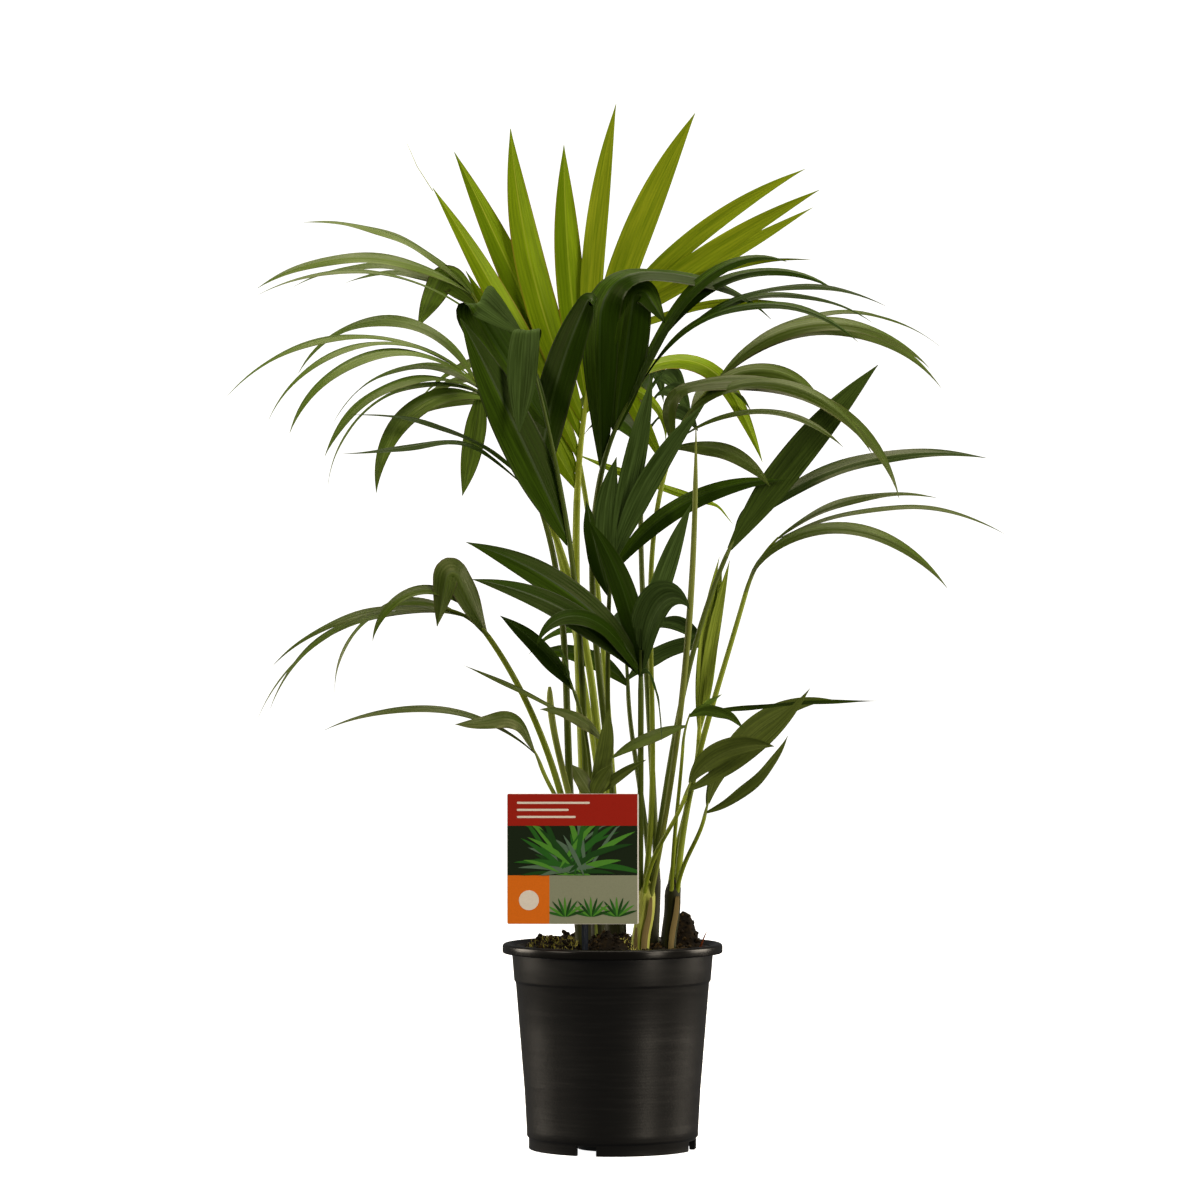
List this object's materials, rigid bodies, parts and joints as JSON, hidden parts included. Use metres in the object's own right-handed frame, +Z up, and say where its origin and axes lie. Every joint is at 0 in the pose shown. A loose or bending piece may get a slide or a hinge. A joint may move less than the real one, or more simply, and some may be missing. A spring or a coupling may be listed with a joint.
{
  "type": "kentia palm",
  "caption": "Young kentia palm with arching feather fronds on slender stalks, growing in a round black nursery pot with a square plant label.",
  "frame": {"origin": "centre of the flat underside of the pot, where it stands", "axes": "+Z up, -Y toward the plant label, +X to the right as seen from the label's side"},
  "size_m": [0.6728, 0.4516, 0.9091],
  "materials": {
    "pot_plastic": "black moulded polypropylene, satin, with fine scuffs",
    "potting_soil": "moist dark peat with fibres and bits of moss",
    "card": null,
    "pick_plastic": "dark blue-black moulded plastic",
    "stem": "olive green stem with dry tan sheaths",
    "stalk": "smooth yellow-green leaf stalk, satin",
    "leaf_dark": "very dark green leaflets, waxy",
    "leaf_green": "deep green leaflets, waxy, with fine lengthwise veins",
    "leaf_pale": "greyish olive leaflets, satin",
    "leaf_fresh": "fresh yellow-green leaflets, waxy, with fine lengthwise veins",
    "spear": "closed leaf spear, brownish olive, satin",
    "stub": "pale cut stalk, dull"
  },
  "bodies": {
    "root": {"pot": "pot_plastic", "soil": "potting_soil", "label_card": "card", "label_pick": "pick_plastic", "stem_left": "stem", "stem_back": "stem", "stem_front": "stem", "stem_middle": "stem", "stem_right": "stem", "stem_far": "stem", "stalk_newest_fan": "stalk", "blade_newest_fan": "leaf_fresh", "stalk_upper_left": "stalk", "blade_upper_left": "leaf_green", "stalk_mid_left": "stalk", "blade_mid_left": "leaf_green", "stalk_thin_left": "stalk", "blade_thin_left": "leaf_dark", "stalk_front_left": "stalk", "blade_front_left": "leaf_dark", "stalk_dark_centre": "stalk", "blade_dark_centre": "leaf_dark", "stalk_inner_centre": "stalk", "blade_inner_centre": "leaf_dark", "stalk_long_right": "stalk", "blade_long_right": "leaf_green", "stalk_broad_right": "stalk", "blade_broad_right": "leaf_dark", "stalk_low_right": "stalk", "blade_low_right": "leaf_green", "stalk_furled_right": "stalk", "blade_furled_right": "leaf_fresh", "stalk_front_fan": "stalk", "blade_front_fan": "leaf_dark", "stalk_low_left": "stalk", "blade_low_left": "leaf_green", "stalk_lowest_left": "stalk", "blade_lowest_left": "leaf_pale", "stalk_small_left": "stalk", "blade_small_left": "leaf_pale", "stalk_small_right": "stalk", "blade_small_right": "leaf_green", "stalk_lower_right_front": "stalk", "blade_lower_right_front": "leaf_green", "stalk_lower_right_back": "stalk", "blade_lower_right_back": "leaf_green", "stalk_small_dark": "stalk", "blade_small_dark": "leaf_dark", "stalk_back_left": "stalk", "blade_back_left": "leaf_green", "stalk_back_centre": "stalk", "blade_back_centre": "leaf_dark", "stalk_back_low": "stalk", "blade_back_low": "leaf_dark", "spear": "spear", "stalk_stub": "stub", "sprout": "leaf_pale"}
  },
  "joints": []
}
